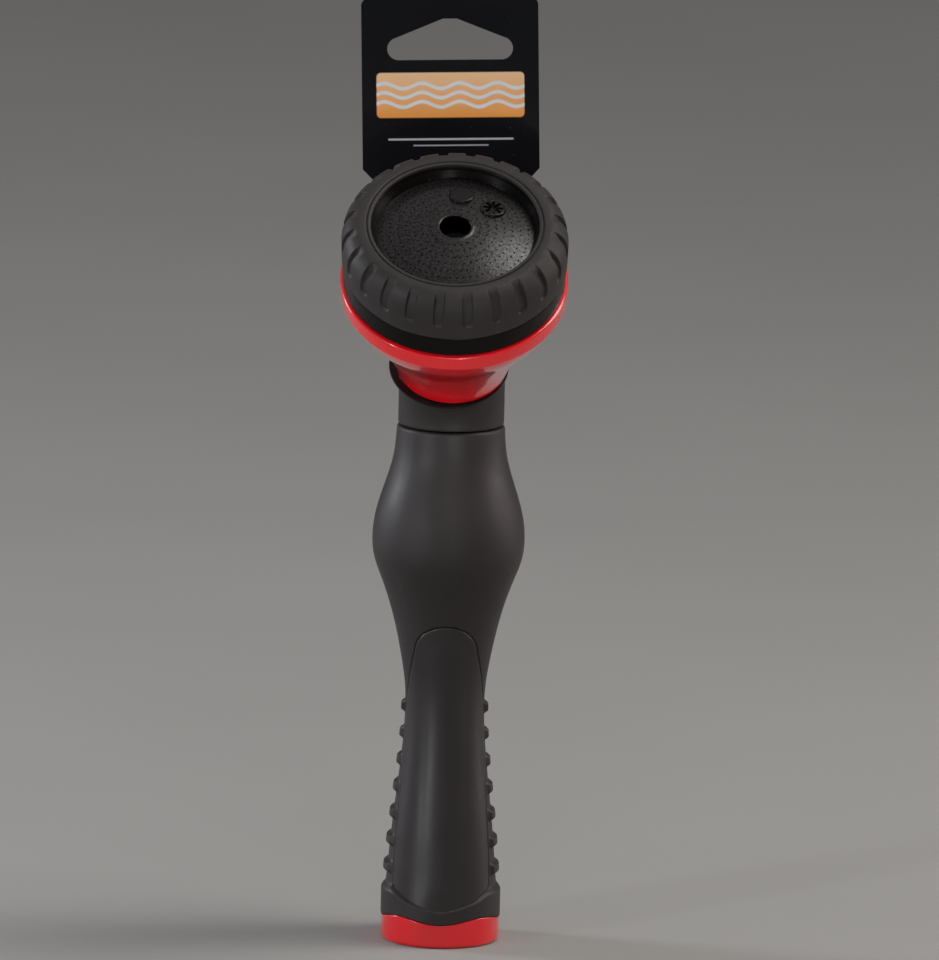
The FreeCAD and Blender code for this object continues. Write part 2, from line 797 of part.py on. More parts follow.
def selector_grip():
    notched = ring_blank(0).cut(around(notch(), NOTCH_COUNT, -90 + 180.0 / NOTCH_COUNT))
    return on_head(notched.fuse(ring_blank(NOTCH_DEPTH)).removeSplitter())


def plate_sphere(offset):
    """Ball whose top is the face plate's dome, moved down by an offset."""
    radius = (PLATE_R ** 2 + PLATE_EDGE ** 2) / (-2 * PLATE_EDGE)
    return Part.makeSphere(radius, V(0, 0, -radius - offset))


def mark_point(angle):
    radians = math.radians(angle)
    return V(MARK_CIRCLE_R * math.cos(radians), MARK_CIRCLE_R * math.sin(radians), 0)


def spray_holes():
    marks = [mark_point(JET_MARK_ANGLE), mark_point(SHOWER_MARK_ANGLE)]
    holes = []
    for ring in range(SPRAY_RINGS):
        radius = SPRAY_OUTER_R - ring * SPRAY_STEP
        count = SPRAY_OUTER_COUNT - ring * SPRAY_COUNT_STEP
        for i in range(count):
            angle = 2 * math.pi * (i + 0.5 * (ring % 2)) / count
            centre = V(radius * math.cos(angle), radius * math.sin(angle), 0)
            if min((centre - mark).Length for mark in marks) > MARK_R + SPRAY_HOLE_R + 0.3:
                holes.append(rod(SPRAY_HOLE_R, -8, 1, x=centre.x, y=centre.y))
    return holes


def shower_mark_cut():
    """Eight-petal star sunk in the shower mark."""
    foot = -1.15
    ends = [rod(0.42, foot, 3, x=2.9), rod(0.42, foot, 3, x=1.1)]
    petal = block((1.1, 2.9), (-0.42, 0.42), (foot, 3)).fuse(ends)
    return [rod(0.75, foot, 3)] + around(petal, 8)


def face_plate():
    """Domed face with the jet's mouth, the spray holes and two raised pattern marks."""
    dome = rod(PLATE_R, PLATE_EDGE - PLATE_THICKNESS, 1).common(plate_sphere(0))
    dome = dome.cut(plate_sphere(PLATE_THICKNESS))
    body = dome.fuse(rod(JET_R + 1.2, JET_TIP, -1.0))
    for angle in (JET_MARK_ANGLE, SHOWER_MARK_ANGLE):
        place = mark_point(angle)
        cap = rod(MARK_R, -3, 1).common(Part.makeSphere(9.6, V(0, 0, -9.75)))
        if angle == SHOWER_MARK_ANGLE:
            cap = cap.cut(shower_mark_cut())
        cap.translate(place)
        body = body.fuse(cap)
    rim_r = JET_R + 0.45
    body = body.cut(turned_outline([(0, -10), (JET_R, -10), (JET_R, -0.6), (rim_r, 0), (rim_r, 2), (0, 2)]))
    return on_head(body.cut(Part.makeCompound(spray_holes())))


# ---------------------------------------------------------------- hang card
def tab_centre():
    """Middle of the tab's thickness on the head's axis."""
    return HEAD_POINT + HEAD_AXIS * (HOUSING_FOOT - 0.1 - CARD_THICKNESS / 2)


def tab_reach():
    """Length of the tab from the head's axis to where the card starts to bend upright."""
    return (CARD_Y - CARD_BEND_R * (1 - math.sin(TILT)) - tab_centre().y) / math.cos(TILT)


def sheet_foot_z():
    """Height where the bend ends and the upright sheet starts."""
    return tab_centre().z + tab_reach() * math.sin(TILT) + CARD_BEND_R * math.cos(TILT)


def card_bend():
    """Curved strip between the tilted tab and the upright sheet."""
    half = CARD_TONGUE_HALF_WIDTH
    front = CARD_Y - CARD_THICKNESS / 2
    foot = sheet_foot_z()
    strip = Part.makePlane(2 * half, CARD_THICKNESS, V(-half, front, foot), UP)
    return strip.revolve(V(0, CARD_Y - CARD_BEND_R, foot), V(1, 0, 0), HEAD_TILT - 90)


def card_tongue(y0, y1):
    """Strip from the bend up to the leaning sheet's lower edge."""
    half = CARD_TONGUE_HALF_WIDTH
    foot = sheet_foot_z()
    pivot = V(0, 0, CARD_LEAN_Z)
    lean = FreeCAD.Rotation(V(0, 1, 0), -CARD_LEAN)
    corners = [(-half, foot), (half, foot)]
    for side in (1, -1):
        corner = pivot + lean.multVec(V(side * half, 0, CARD_TONGUE_Z) - pivot)
        corners.append((corner.x, corner.z))
    return prism_y(lines(corners + [corners[0]]), y0, y1)


def card_sheet():
    """Upright sheet with its hanging slot, leaning a little to one side."""
    half = CARD_HALF_WIDTH
    top = CARD_TOP_Z
    corner = 2.6
    cut = corner * (1 - math.sqrt(0.5))
    tongue = CARD_TONGUE_HALF_WIDTH
    edges = []
    for side in (-1, 1):
        edges += lines([(side * (half - corner), top), (0, top)])
        arc = Part.Arc(
            V(side * (half - corner), 0, top),
            V(side * (half - cut), 0, top - cut),
            V(side * half, 0, top - corner),
        )
        edges.append(arc.toShape())
        edges += lines(
            [
                (side * half, top - corner),
                (side * half, CARD_SHOULDER_Z),
                (side * CARD_CHAMFER_HALF_WIDTH, CARD_CHAMFER_Z),
                (side * tongue, CARD_TONGUE_Z),
                (0, CARD_TONGUE_Z),
            ]
        )
    y0 = CARD_Y - CARD_THICKNESS / 2
    y1 = y0 + CARD_THICKNESS
    sheet = prism_y(edges, y0, y1).cut(hang_slot(y0 - 1, y1 + 1))
    sheet.rotate(V(0, CARD_Y, CARD_LEAN_Z), V(0, 1, 0), -CARD_LEAN)
    return sheet.fuse(card_tongue(y0, y1))


def hang_slot(y0, y1):
    """Peaked slot: round ends, flat bottom and sloping shoulders up to a short flat peak."""
    foot = CARD_SLOT_Z
    end_r = 3.7
    outline = [
        (-16.6, foot),
        (16.6, foot),
        (17.5, foot + 2 * end_r - 0.2),
        (2.2, foot + 13.4),
        (-2.2, foot + 13.4),
        (-17.5, foot + 2 * end_r - 0.2),
        (-16.6, foot),
    ]
    slot = prism_y(lines(outline), y0, y1)
    for x in (-16.4, 16.4):
        slot = slot.fuse(rod_y(end_r, y0, y1, x, foot + end_r))
    return slot


def hang_card():
    """Sheet, bend and the ring tab that goes loosely round the neck under the housing."""
    half = CARD_TONGUE_HALF_WIDTH
    top = HOUSING_FOOT - 0.1
    foot = top - CARD_THICKNESS
    tab = rod(CARD_RING_R, foot, top, x=CARD_RING_X)
    tab = tab.fuse(block((-half, half), (0, tab_reach()), (foot, top)))
    tab = tab.cut(rod(CARD_RING_HOLE_R, foot - 1, top + 1))
    return on_head(tab).fuse([card_bend(), card_sheet()]).removeSplitter()


PIECES = {
    "base_ring": base_ring,
    "inlet_coupling": inlet_coupling,
    "hose_washer": hose_washer,
    "filter_screen": filter_screen,
    "grip_sleeve": grip_sleeve,
    "grip_front_panel": grip_front_panel,
    "handle_core": handle_core,
    "valve_seat": valve_seat,
    "valve_spool": valve_spool,
    "spool_o_rings": spool_o_rings,
    "spool_seal": spool_seal,
    "slide_stem": slide_stem,
    "thumb_slide": thumb_slide,
    "slide_bezel": slide_bezel,
    "bezel_screws": bezel_screws,
    "neck": neck,
    "neck_o_ring": neck_o_ring,
    "head_housing": head_housing,
    "diverter_disc": diverter_disc,
    "disc_o_ring": disc_o_ring,
    "port_seals": port_seals,
    "pivot_screw": pivot_screw,
    "pivot_washer": pivot_washer,
    "detent_ball": detent_ball,
    "detent_spring": detent_spring,
    "distributor": distributor,
    "jet_manifold": jet_manifold,
    "jet_nozzle": jet_nozzle,
    "selector_skirt": selector_skirt,
    "selector_grip": selector_grip,
    "face_plate": face_plate,
    "hang_card": hang_card,
}

os.makedirs("parts", exist_ok=True)
for name, make in PIECES.items():
    save(name, make())
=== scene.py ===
import json
import math

import bmesh
import bpy
import numpy as np
from mathutils import Matrix, Vector
from mathutils.geometry import delaunay_2d_cdt


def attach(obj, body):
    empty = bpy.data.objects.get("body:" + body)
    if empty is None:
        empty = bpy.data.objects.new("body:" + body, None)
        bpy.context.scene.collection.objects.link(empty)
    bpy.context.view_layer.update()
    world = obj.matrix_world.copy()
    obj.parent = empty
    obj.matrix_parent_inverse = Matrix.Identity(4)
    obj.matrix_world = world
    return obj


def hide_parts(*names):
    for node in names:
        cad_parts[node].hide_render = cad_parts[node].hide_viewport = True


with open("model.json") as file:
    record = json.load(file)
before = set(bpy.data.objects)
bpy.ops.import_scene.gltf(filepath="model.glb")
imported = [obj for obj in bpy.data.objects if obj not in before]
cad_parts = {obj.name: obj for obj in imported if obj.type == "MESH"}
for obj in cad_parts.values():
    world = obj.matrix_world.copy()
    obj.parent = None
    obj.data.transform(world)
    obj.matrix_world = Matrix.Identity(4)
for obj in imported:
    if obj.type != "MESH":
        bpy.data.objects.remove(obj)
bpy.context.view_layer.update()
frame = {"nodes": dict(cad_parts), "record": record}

# Detailed look of the watering wand. Shapes are drawn in millimetres in the row frame and stored in metres.
# Head pieces are drawn round the head's own axis, with height 0 at the top of the face, and then tilted.
MM = 0.001
SHARP = math.radians(38.0)

# ---- handle ----
BASE_R = 19.0
CORE_R = 15.5
WAVE_MEAN_Z = 8.5
WAVE_RISE = 0.9
WAVES = 4
SEAM = 0.08
FOOT_R = 19.2
FOOT_TOP = 16.8
VALLEY_Z = 20.0
VALLEY_R = 17.6
GRIP_TOP_Z = 167.7
GRIP_END_Z = 166.7
# Half width of the handle in the front view, against height.
SIDE = [
    (VALLEY_Z, VALLEY_R),
    (41.0, 15.7),
    (58.0, 13.8),
    (74.0, 12.7),
    (83.0, 12.95),
    (92.0, 14.3),
    (104.5, 17.0),
    (117.0, 21.0),
    (125.0, 23.8),
    (131.0, 24.4),
    (138.0, 23.7),
    (149.5, 20.4),
    (157.0, 18.3),
    (GRIP_END_Z, 17.3),
]
RIB_COUNT = 7
RIB_FIRST_Z = 24.0
RIB_PITCH = 8.65
RIB_HEIGHT = 1.35
RIB_HALF_WIDTH = 2.3
FACET_Y = 16.85
FACET_Z = (98, 166)
PANEL_PROUD = 0.25
PANEL_FOOT_Z = 11.6
PANEL_CORNER_Z = 18.3
PANEL_CORNER_X = 15.7
PANEL_SHOULDER_Z = 96.0
PANEL_SHOULDER_X = 10.2
PANEL_CROWN = 8.7
PANEL_THICKNESS = 1.7

# ---- neck ----
NECK_R = 16.95
NECK_FOOT_Z = 168.15
NECK_BEND_Z = 168.6
NECK_BEND_R = 30.0
NECK_STRAIGHT = 3.1
NECK_BORE_R = 9.0

# ---- head ----
HEAD_TILT = math.radians(35.0)
HEAD_POINT = np.array([0.0, -42.765265, 239.134091])
RIM_R = 36.2
RIM_TOP = -23.1
RIM_FOOT = -28.1
HOUSING_FOOT = -62.0
SPIGOT_R = 12.0
CONE_Z = [-61.7, -56.0, -50.0, -44.0, -38.0, -33.0, -29.6]
CONE_R = [17.7, 19.5, 22.4, 25.9, 30.0, 33.4, 35.1]
RING_R = 36.0
RING_FOOT = -15.4
RING_BORE_R = 28.0
SKIRT_R = 35.3
SKIRT_FOOT = -22.7
LIP_R = 26.75
SHOULDER_X = 30.0
SHOULDER_Z = -7.0
SHOULDER_RISE = 8.2
NOTCHES = 24
NOTCH_HALF = 1.65
NOTCH_DEPTH = 1.15
PLATE_R = 24.9
PLATE_EDGE = -3.5
PLATE_THICKNESS = 1.8
DOME_R = (PLATE_R**2 + PLATE_EDGE**2) / (-2 * PLATE_EDGE)
JET_R = 4.9
MARKS = [(83.0, False), (38.0, True)]  # angle round the face, and whether the mark has the star
MARK_CIRCLE_R = 15.0
MARK_R = 4.1
SPRAY_RINGS = 7
SPRAY_OUTER_R = 23.3
SPRAY_STEP = 2.55
SPRAY_OUTER_COUNT = 72
SPRAY_COUNT_STEP = 8
SPRAY_R = 0.28

# ---- hang card print, metres along the leaning card above its pivot ----
CARD_LEAN = math.radians(1.8)
CARD_PIVOT_Z = 0.190
CARD_FRONT_Y = 0.0178
LABEL_MIDDLE = 0.0815
LABEL_HALF = (0.0236, 0.0073)
LABEL_WAVES = (0.0030, 0.0, -0.0030)
LABEL_LINES = ((0.0672, 0.0200, 0.0003, 0.55), (0.0652, 0.0120, 0.0002, 0.45))  # middle, half sizes, tone


# ---------------------------------------------------------------- mesh helpers
def build(name, points, faces):
    """Smooth mesh object from millimetre points and index faces, with outward normals and sharp edges."""
    mesh = bpy.data.meshes.new(name)
    corners = [tuple(p) for p in np.asarray(points) * MM]
    mesh.from_pydata(corners, [], [tuple(int(i) for i in f) for f in faces])
    work = bmesh.new()
    work.from_mesh(mesh)
    bmesh.ops.remove_doubles(work, verts=work.verts, dist=1e-7)
    bmesh.ops.recalc_face_normals(work, faces=work.faces)
    for edge in work.edges:
        edge.smooth = len(edge.link_faces) != 2 or edge.calc_face_angle() < SHARP
    work.to_mesh(mesh)
    work.free()
    for polygon in mesh.polygons:
        polygon.use_smooth = True
    obj = bpy.data.objects.new(name, mesh)
    bpy.context.scene.collection.objects.link(obj)
    return obj


def ring_faces(rows, columns):
    """Quads of a grid that is closed both ways: columns run round a circle, rows round its section."""
    faces = []
    for i in range(rows):
        k = (i + 1) % rows
        for j in range(columns):
            n = (j + 1) % columns
            faces.append((i * columns + j, i * columns + n, k * columns + n, k * columns + j))
    return faces


def rounded(corners, step=0.25):
    """Closed outline of (r, z, corner radius) points, with arcs at the corners."""
    points = []
    count = len(corners)
    for i in range(count):
        here = np.array(corners[i][:2], float)
        before = np.array(corners[i - 1][:2], float) - here
        after = np.array(corners[(i + 1) % count][:2], float) - here
        radius = corners[i][2]
        before_length, after_length = np.linalg.norm(before), np.linalg.norm(after)
        before, after = before / before_length, after / after_length
        half = 0.5 * math.acos(max(-1.0, min(1.0, float(before @ after))))
        if radius <= 0 or half > 1.5:
            points.append(here)
            continue
        reach = min(radius / math.tan(half), 0.49 * before_length, 0.49 * after_length)
        radius = reach * math.tan(half)
        middle = before + after
        centre = here + middle / np.linalg.norm(middle) * radius / math.sin(half)
        start, end = here + before * reach - centre, here + after * reach - centre
        sweep = math.atan2(start[0] * end[1] - start[1] * end[0], float(start @ end))
        pieces = max(3, int(abs(sweep) * radius / step))
        for k in range(pieces + 1):
            turn = sweep * k / pieces
            spin = np.array([[math.cos(turn), -math.sin(turn)], [math.sin(turn), math.cos(turn)]])
            points.append(centre + spin @ start)
    return np.array(points)


def densify(outline, step):
    """Closed outline with its long edges split up."""
    points = []
    for a, b in zip(outline, np.roll(outline, -1, axis=0)):
        pieces = max(1, int(math.ceil(np.linalg.norm(b - a) / step)))
        points += [a + (b - a) * k / pieces for k in range(pieces)]
    return np.array(points)


def lathe(name, outline, segments=256, place=None, shape=None):
    """Turned closed outline; shape(r, z, angle) may move the points."""
    angle = np.linspace(0, 2 * math.pi, segments, endpoint=False)
    r = np.repeat(outline[:, :1], segments, axis=1)
    z = np.repeat(outline[:, 1:2], segments, axis=1)
    turn = np.repeat(angle[None, :], len(outline), axis=0)
    if shape is not None:
        r, z = shape(r, z, turn)
    points = np.stack([r * np.cos(turn), r * np.sin(turn), z], axis=-1).reshape(-1, 3)
    if place is not None:
        points = place(points)
    return build(name, points, ring_faces(len(outline), segments))


def on_head(points):
    """Row-frame place of points drawn round the head's own axis."""
    points = np.asarray(points, float)
    c, s = math.cos(HEAD_TILT), math.sin(HEAD_TILT)
    x, y, z = points[:, 0], points[:, 1], points[:, 2]
    return np.stack([x, y * c - z * s, y * s + z * c], axis=-1) + HEAD_POINT


def outline_distance(points, outline):
    """Distance from each point to a closed outline, positive inside it."""
    a = outline
    b = np.roll(outline, -1, axis=0)
    best = np.full(len(points), 1e9)
    inside = np.zeros(len(points), bool)
    for p, q in zip(a, b):
        edge = q - p
        length = float(edge @ edge)
        if length < 1e-12:
            continue
        t = np.clip(((points - p) @ edge) / length, 0, 1)
        best = np.minimum(best, np.linalg.norm(points - p - t[:, None] * edge, axis=1))
        crosses = (p[1] > points[:, 1]) != (q[1] > points[:, 1])
        with np.errstate(divide="ignore", invalid="ignore"):
            at = (q[0] - p[0]) * (points[:, 1] - p[1]) / (q[1] - p[1]) + p[0]
        inside ^= crosses & (points[:, 0] < at)
    return np.where(inside, best, -best)


def slab(name, outline, holes, inner, top, bottom, place=None):
    """Closed sheet: triangulated outline with holes; top and bottom give the third coordinate."""
    loops = [np.asarray(outline)] + [np.asarray(h) for h in holes]
    flat = np.concatenate(loops + [np.asarray(inner).reshape(-1, 2)])
    edges = []
    start = 0
    for loop in loops:
        edges += [(start + i, start + (i + 1) % len(loop)) for i in range(len(loop))]
        start += len(loop)
    found = delaunay_2d_cdt([Vector((float(x), float(y))) for x, y in flat], edges, [], 0, 1e-6)
    points = np.array([tuple(v) for v in found[0]])
    faces = np.array([tuple(f) for f in found[2]])
    middle = points[faces].mean(axis=1)
    keep = outline_distance(middle, loops[0]) > 0
    for hole in loops[1:]:
        centre = hole.mean(axis=0)
        reach = np.linalg.norm(hole - centre, axis=1).max()
        near = np.linalg.norm(middle - centre, axis=1) < reach
        if near.any():
            index = np.nonzero(near & keep)[0]
            keep[index[outline_distance(middle[index], hole) > 0]] = False
    faces = faces[keep]
    count = len(points)
    upper = np.column_stack([points, top(points)])
    lower = np.column_stack([points, bottom(points)])
    quads = [tuple(f) for f in faces] + [tuple(f[::-1] + count) for f in faces]
    seen = {}
    for f in faces:
        for i in range(3):
            a, b = int(f[i]), int(f[(i + 1) % 3])
            if (b, a) in seen:
                del seen[(b, a)]
            else:
                seen[(a, b)] = True
    quads += [(b, a, a + count, b + count) for a, b in seen]
    both = np.concatenate([upper, lower])
    if place is not None:
        both = place(both)
    return build(name, both, quads)


def circle(radius, count, x=0.0, y=0.0):
    turn = 2 * math.pi * np.arange(count) / count
    return np.stack([x + radius * np.cos(turn), y + radius * np.sin(turn)], axis=-1)


def smooth_step(t):
    t = np.clip(t, 0, 1)
    return t * t * (3 - 2 * t)


def cubic(xs, ys):
    """Natural cubic curve through points, as a function."""
    xs, ys = np.asarray(xs, float), np.asarray(ys, float)
    n = len(xs)
    h = np.diff(xs)
    matrix = np.eye(n)
    right = np.zeros(n)
    for i in range(1, n - 1):
        matrix[i, i - 1], matrix[i, i], matrix[i, i + 1] = h[i - 1], 2 * (h[i - 1] + h[i]), h[i]
        right[i] = 6 * ((ys[i + 1] - ys[i]) / h[i] - (ys[i] - ys[i - 1]) / h[i - 1])
    m = np.linalg.solve(matrix, right)

    def value(x):
        x = np.asarray(x, float)
        i = np.clip(np.searchsorted(xs, x) - 1, 0, n - 2)
        a, b = xs[i + 1] - x, x - xs[i]
        return (
            (m[i] * a**3 + m[i + 1] * b**3) / (6 * h[i])
            + (ys[i] / h[i] - m[i] * h[i] / 6) * a
            + (ys[i + 1] / h[i] - m[i + 1] * h[i] / 6) * b
        )

    return value


# ---------------------------------------------------------------- grip
side_radius = cubic(*zip(*SIDE))


def grip_radius(z):
    """Radius of the handle without its ribs, foot flange included."""
    z = np.asarray(z, float)
    body = side_radius(np.clip(z, VALLEY_Z, GRIP_END_Z))
    body = np.where(z < VALLEY_Z, VALLEY_R + (VALLEY_Z - z) * 0.09, body)
    step = smooth_step((z - (FOOT_TOP - 0.4)) / 2.6)
    radius = FOOT_R * (1 - step) + body * step
    end = np.clip((z - (GRIP_TOP_Z - 1.0)) / 1.0, 0, 1)
    return radius - 0.9 * (1 - np.sqrt(np.clip(1 - end**2, 0, 1)))


def wave_height(angle):
    """Height of the wavy edge between the base ring and the grip."""
    return WAVE_MEAN_Z - WAVE_RISE * np.cos(WAVES * angle)


def panel_radius(z):
    """Smooth front panel, a little proud of the grip and blending into the foot."""
    z = np.asarray(z, float)
    body = side_radius(np.clip(z, VALLEY_Z, GRIP_END_Z)) + PANEL_PROUD
    return np.where(z < VALLEY_Z, VALLEY_R + PANEL_PROUD + (VALLEY_Z - z) * 0.1, body)


def panel_outline():
    """Outline of the front panel as (arc length round the handle, height)."""
    side_z = [PANEL_CORNER_Z, 30.0, 46.0, 62.0, 78.0, 88.0, PANEL_SHOULDER_Z]
    side = cubic(side_z, [PANEL_CORNER_X, 15.3, 14.2, 13.3, 12.5, 11.6, PANEL_SHOULDER_X])
    right = []
    cup_depth = PANEL_CORNER_Z - PANEL_FOOT_Z
    cup_r = (PANEL_CORNER_X**2 + cup_depth**2) / (2 * cup_depth)
    for x in np.linspace(0, PANEL_CORNER_X, 24, endpoint=False):
        right.append((x, PANEL_FOOT_Z + cup_r - math.sqrt(cup_r**2 - x**2)))
    for z in np.linspace(PANEL_CORNER_Z, PANEL_SHOULDER_Z, 90, endpoint=False):
        right.append((float(side(z)), z))
    for turn in np.linspace(0, 1, 26) * math.pi / 2:
        crown = PANEL_SHOULDER_Z + PANEL_CROWN * math.sin(turn) ** 1.06
        right.append((PANEL_SHOULDER_X * math.cos(turn) ** 0.92, crown))
    right = np.array(right)
    radius = panel_radius(right[:, 1])
    arc = np.arcsin(np.clip(right[:, 0] / radius, -0.995, 0.995)) * radius
    right = np.stack([arc, right[:, 1]], axis=-1)
    left = right[1:-1][::-1] * np.array([-1, 1])
    return np.concatenate([right, left])


PANEL = panel_outline()


def rib_height(z, inside):
    """Rounded ribs round the sides and back, fading out beside the front panel."""
    rib = np.zeros_like(z)
    for i in range(RIB_COUNT):
        centre = RIB_FIRST_Z + RIB_PITCH * i
        d = np.abs(z - centre) / RIB_HALF_WIDTH
        rib = np.maximum(rib, RIB_HEIGHT * (1 - smooth_step((d - 0.42) / 0.58)))
    return rib * smooth_step((-inside - 0.5) / 1.6)


def grip_sleeve():
    """Rubber sleeve: wavy foot, ribs, a pocket for the panel and a flat at the back for the slide."""
    columns = 420
    foot_z = 6.0
    blend_z = 15.0
    pocket_depth = 1.5
    foot_rows = np.linspace(foot_z, blend_z, 20, endpoint=False)
    crown_rows = GRIP_TOP_Z - 1.0 + np.sin(np.linspace(0, math.pi / 2, 8))
    heights = np.concatenate([foot_rows, np.arange(blend_z, GRIP_TOP_Z - 1.2, 0.36), crown_rows])
    turn = np.linspace(-math.pi, math.pi, columns, endpoint=False)
    z, angle = np.meshgrid(heights, turn, indexing="ij")
    developed = np.stack([(angle * panel_radius(z)).ravel(), z.ravel()], axis=-1)
    inside = outline_distance(developed, PANEL).reshape(z.shape)
    radius = grip_radius(z) + rib_height(z, inside)
    radius = radius - pocket_depth * smooth_step((inside + 0.45) / 1.1)
    wave = wave_height(angle + math.pi / 2)
    stretch = (z - foot_z) / (blend_z - foot_z)
    z = np.where(z < blend_z, wave + SEAM + (blend_z - wave - SEAM) * stretch, z)
    edge = np.clip((z - wave - SEAM) / 0.5, 0, 1)
    radius = radius - 0.35 * (1 - np.sqrt(np.clip(1 - (1 - edge) ** 2, 0, 1)))
    x = radius * np.sin(angle)
    y = -radius * np.cos(angle)
    soft = 0.5 * (y + FACET_Y - np.sqrt((y - FACET_Y) ** 2 + 0.35))
    y = np.where((z > FACET_Z[0]) & (z < FACET_Z[1]), soft, y)
    outer = np.stack([x, y, z], axis=-1).reshape(-1, 3)
    bore_z = [0, 20.0, 25.5, 93.0, 106.0, 160.0, 162.0, 170.0]
    bore_r = [CORE_R, CORE_R, 10.2, 10.2, 14.0, 14.0, 12.0, 12.0]
    inner_z = np.linspace(GRIP_TOP_Z, 8.0, 40)
    inner_r = np.interp(inner_z, bore_z, bore_r)
    inner = []
    for zi, ri in zip(inner_z, inner_r):
        ring = np.stack([ri * np.sin(turn), -ri * np.cos(turn), np.full_like(turn, zi)], axis=-1)
        if zi < 8.5:
            ring[:, 2] = wave_height(turn + math.pi / 2) + SEAM
        inner.append(ring)
    points = np.concatenate([outer, np.concatenate(inner)])
    return build("grip_sleeve_look", points, ring_faces(len(heights) + len(inner_z), columns))


def grip_front_panel():
    """Separate panel with rounded edges, sunk into its pocket in the sleeve."""
    inner = []
    for depth in (0.12, 0.28, 0.5, 0.8):
        towards = np.roll(PANEL, -1, axis=0) - np.roll(PANEL, 1, axis=0)
        normal = np.stack([-towards[:, 1], towards[:, 0]], axis=-1)
        normal /= np.linalg.norm(normal, axis=1)[:, None]
        moved = PANEL + normal * depth
        inner.append(moved[outline_distance(moved, PANEL) > depth * 0.8])
    xs = np.arange(-19, 19.1, 0.8)
    zs = np.arange(12, 105, 0.8)
    grid = np.array([(x + 0.4 * (k % 2), z) for k, z in enumerate(zs) for x in xs])
    inner.append(grid[outline_distance(grid, PANEL) > 1.2])

    def top(points):
        depth = outline_distance(points, PANEL)
        edge = np.clip(depth / 0.7, 0, 1)
        drop = 0.75 * (1 - np.sqrt(np.clip(1 - (1 - edge) ** 2, 0, 1)))
        crease = 0.10 * np.maximum(7.0 - np.abs(points[:, 0] - 0.4), 0)
        return panel_radius(points[:, 1]) - drop + crease * smooth_step(depth / 9.0) - 0.12

    def bottom(points):
        return panel_radius(points[:, 1]) - PANEL_THICKNESS

    def place(points):
        arc, z, r = points[:, 0], points[:, 1], points[:, 2]
        angle = arc / panel_radius(z)
        return np.stack([r * np.sin(angle), -r * np.cos(angle), z], axis=-1)

    return slab("grip_front_panel_look", PANEL, [], np.concatenate(inner), top, bottom, place)


def base_ring():
    """Gloss ring at the hose inlet with a wavy upper edge."""
    corners = [
        (CORE_R, 0.4, 0.3),
        (CORE_R + 0.8, 0.0, 0.2),
        (BASE_R, 0.0, 1.3),
        (BASE_R, 12.0, 0.35),
        (CORE_R, 12.0, 0.2),
    ]

    def shape(r, z, turn):
        """The part above 2 mm is stretched from its drawn 10 mm to the wave's height."""
        top = wave_height(turn)
        return r, np.where(z > 2.0, 2.0 + (z - 2.0) * (top - 2.0) / 10.0, z)

    return lathe("base_ring_look", densify(rounded(corners, 0.12), 0.6), 360, shape=shape)


# ---------------------------------------------------------------- neck
def bent_tube(name, outline_outer, outline_inner, segments=200):
    """Elbow between two radii that follows the neck's bend."""
    rows = []
    turn = np.linspace(0, 2 * math.pi, segments, endpoint=False)
    for radius, distance in outline_outer + outline_inner:
        flat = np.stack([radius * np.cos(turn), radius * np.sin(turn), np.zeros(segments)], axis=-1)
        rise = distance
        bend = 0.0
        if distance > NECK_BEND_Z:
            bend = min(HEAD_TILT, (distance - NECK_BEND_Z) / NECK_BEND_R)
            rise = NECK_BEND_Z
        extra = max(0.0, distance - NECK_BEND_Z - HEAD_TILT * NECK_BEND_R)
        c, s = math.cos(bend), math.sin(bend)
        y = flat[:, 1] + NECK_BEND_R
        x = flat[:, 0]
        ring = np.stack([x, y * c - NECK_BEND_R, y * s + rise], axis=-1)
        ring += np.array([0, -s, c]) * extra
        rows.append(ring)
    return build(name, np.concatenate(rows), ring_faces(len(rows), segments))


def neck():
    """Rubber elbow with a rounded lower edge at the seam above the grip."""
    foot = NECK_FOOT_Z
    end = NECK_BEND_Z + HEAD_TILT * NECK_BEND_R + NECK_STRAIGHT
    outer = [(15.6, foot), (16.4, foot), (16.75, foot + 0.15), (16.9, foot + 0.47)]
    outer += [(NECK_R, d) for d in np.linspace(foot + 0.75, end - 0.5, 40)]
    outer += [(16.7, end - 0.1), (16.4, end)]
    inner = [(SPIGOT_R, end), (NECK_BORE_R, end - 0.3)]
    inner += [(NECK_BORE_R, d) for d in np.linspace(end - 1, foot + 0.85, 30)]
    inner += [(SPIGOT_R + 0.2, foot + 0.05)]
    return bent_tube("neck_look", outer, inner)


# ---------------------------------------------------------------- head
def head_housing():
    """Cone-shaped cup: narrow at the neck, widening to a thick straight rim."""
    cone = cubic(CONE_Z, CONE_R)
    corners = [(SPIGOT_R, HOUSING_FOOT, 0.3), (CONE_R[0] - 0.3, HOUSING_FOOT, 0)]
    corners += [(float(cone(z)), z, 0) for z in np.linspace(CONE_Z[0], CONE_Z[-1], 80)]
    corners += [
        (RIM_R - 0.9, RIM_FOOT - 0.9, 0.5),
        (RIM_R, RIM_FOOT, 0.6),
        (RIM_R, RIM_TOP, 0.5),
        (31.8, RIM_TOP, 0.3),
        (31.8, -27.0, 0.2),
        (30.6, -27.0, 0.2),
        (30.6, -32.0, 2.0),
        (29.8, -34.4, 3.0),
        (27.6, -38.0, 5.0),
        (23.5, -44.0, 20.0),
        (20.1, -50.0, 20.0),
        (17.0, -56.0, 0.5),
        (SPIGOT_R, -56.0, 0.3),
    ]
    return lathe("head_housing_look", densify(rounded(corners, 0.2), 1.0), 360, on_head)


